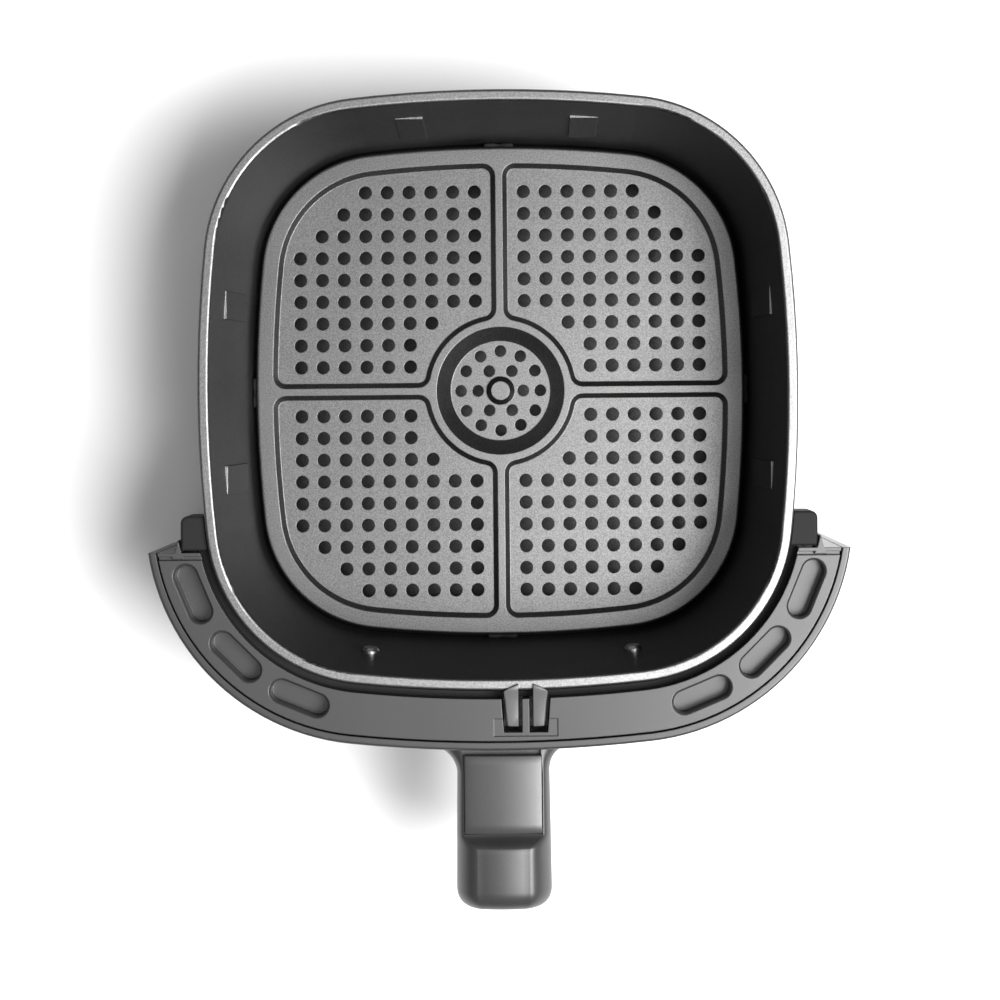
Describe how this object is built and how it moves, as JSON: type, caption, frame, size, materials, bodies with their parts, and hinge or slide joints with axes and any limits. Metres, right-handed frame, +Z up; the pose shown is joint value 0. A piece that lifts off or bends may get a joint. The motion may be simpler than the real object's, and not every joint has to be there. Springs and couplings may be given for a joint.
{
  "type": "air fryer drawer",
  "caption": "Rounded-square pull-out drawer of an air fryer: coated pan with a lift-out perforated crisper plate, hollow curved front and forward handle.",
  "frame": {"origin": "centre of the flat underside of the pan, on the surface the drawer stands on", "axes": "+Z up, +Y to the back of the drawer, the handle points to -Y, +X to the right seen from the front"},
  "size_m": [0.2812, 0.3291, 0.1098],
  "materials": {
    "coated_steel": "fine-grained non-stick coating, satin",
    "coated_steel_plate": "fine-grained metallic non-stick coating, satin",
    "dark_plastic": "matte",
    "frame_plastic": "matte moulded",
    "cover_plastic": "satin moulded",
    "handle_plastic": "satin moulded",
    "panel_plastic": "satin",
    "silicone": "matte silicone",
    "bare_steel": "zinc plated",
    "screw_steel": "plated"
  },
  "bodies": {
    "drawer": {"pan": "coated_steel", "carrier_band": "dark_plastic", "front_frame": "frame_plastic", "front_cover": "cover_plastic", "rim_clip": "frame_plastic", "handle_bracket": "bare_steel", "handle_body": "handle_plastic", "handle_panel": "panel_plastic", "pan_screw_right": "screw_steel", "pan_screw_left": "screw_steel", "bracket_screw_right": "screw_steel", "bracket_screw_left": "screw_steel", "cover_screw_outer_right": "screw_steel", "cover_screw_outer_left": "screw_steel", "cover_screw_inner_right": "screw_steel", "cover_screw_inner_left": "screw_steel", "handle_screw_near": "screw_steel", "handle_screw_far": "screw_steel", "clip_screw": "screw_steel"},
    "plate": {"crisper_plate": "coated_steel_plate", "bumper_right": "silicone", "bumper_back": "silicone", "bumper_left": "silicone", "bumper_front": "silicone"}
  },
  "joints": [
    {"name": "plate_lift", "type": "slide", "parent": "drawer", "child": "plate", "axis": [0, 0, 1], "range_m": [0, 0.14]}
  ]
}
